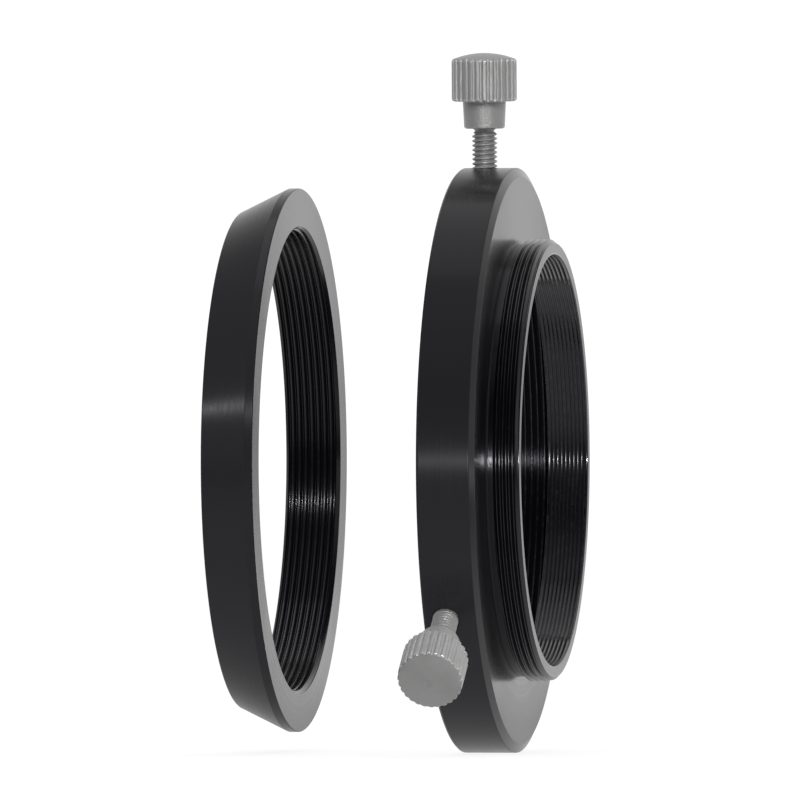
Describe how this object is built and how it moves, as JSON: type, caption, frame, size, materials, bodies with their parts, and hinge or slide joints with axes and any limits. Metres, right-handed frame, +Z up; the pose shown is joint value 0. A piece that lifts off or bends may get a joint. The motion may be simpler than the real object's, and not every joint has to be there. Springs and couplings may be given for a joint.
{
  "type": "telescope rotation adapter",
  "caption": "Rotation adapter: a clamp ring with a male-threaded tube and two radial thumb screws that grip the bevel of a separate ring with a female thread.",
  "frame": {"origin": "on the optical axis, in the plane of the clamp body's front face, from which the threaded tube stands", "axes": "+X along the optical axis, out of the male-threaded tube; +Z up, with the top thumb screw 2.5 degrees off it towards -Y"},
  "size_m": [0.0484, 0.0997, 0.1077],
  "materials": {
    "black_anodised": "satin black anodised, turned",
    "screw_metal": "bead-blasted, satin",
    "soft_tip": "matt"
  },
  "bodies": {
    "clamp": {"clamp_body": "black_anodised"},
    "bevel_ring": {"bevel_ring": "black_anodised"},
    "tip_top": {"screw_tip_top": "soft_tip"},
    "screw_top": {"thumbscrew_top": "screw_metal"},
    "tip_front": {"screw_tip_front": "soft_tip"},
    "screw_front": {"thumbscrew_front": "screw_metal"}
  },
  "joints": [
    {"name": "ring_slide", "type": "slide", "parent": "clamp", "child": "bevel_ring", "axis": [1, 0, 0], "range_m": [0, 0.03345]},
    {"name": "tip_top_feed", "type": "slide", "parent": "clamp", "child": "tip_top", "axis": [0, 0.0436, -0.999], "range_m": [-0.0007, 0.0014]},
    {"name": "screw_top_turn", "type": "hinge", "parent": "tip_top", "child": "screw_top", "pos_m": [-0.0054, -0.00196, 0.04496], "axis": [0, 0.0436, -0.999], "range_deg": [-361, 721]},
    {"name": "tip_front_feed", "type": "slide", "parent": "clamp", "child": "tip_front", "axis": [0, 0.8434, 0.5373], "range_m": [-0.0007, 0.0014]},
    {"name": "screw_front_turn", "type": "hinge", "parent": "tip_front", "child": "screw_front", "pos_m": [-0.0054, -0.03795, -0.02418], "axis": [0, 0.8434, 0.5373], "range_deg": [-361, 721]}
  ],
  "couplings": [
    {"joint": "screw_top_turn", "follows": "tip_top_feed", "rad_per_m": 8976},
    {"joint": "screw_front_turn", "follows": "tip_front_feed", "rad_per_m": 8976}
  ]
}
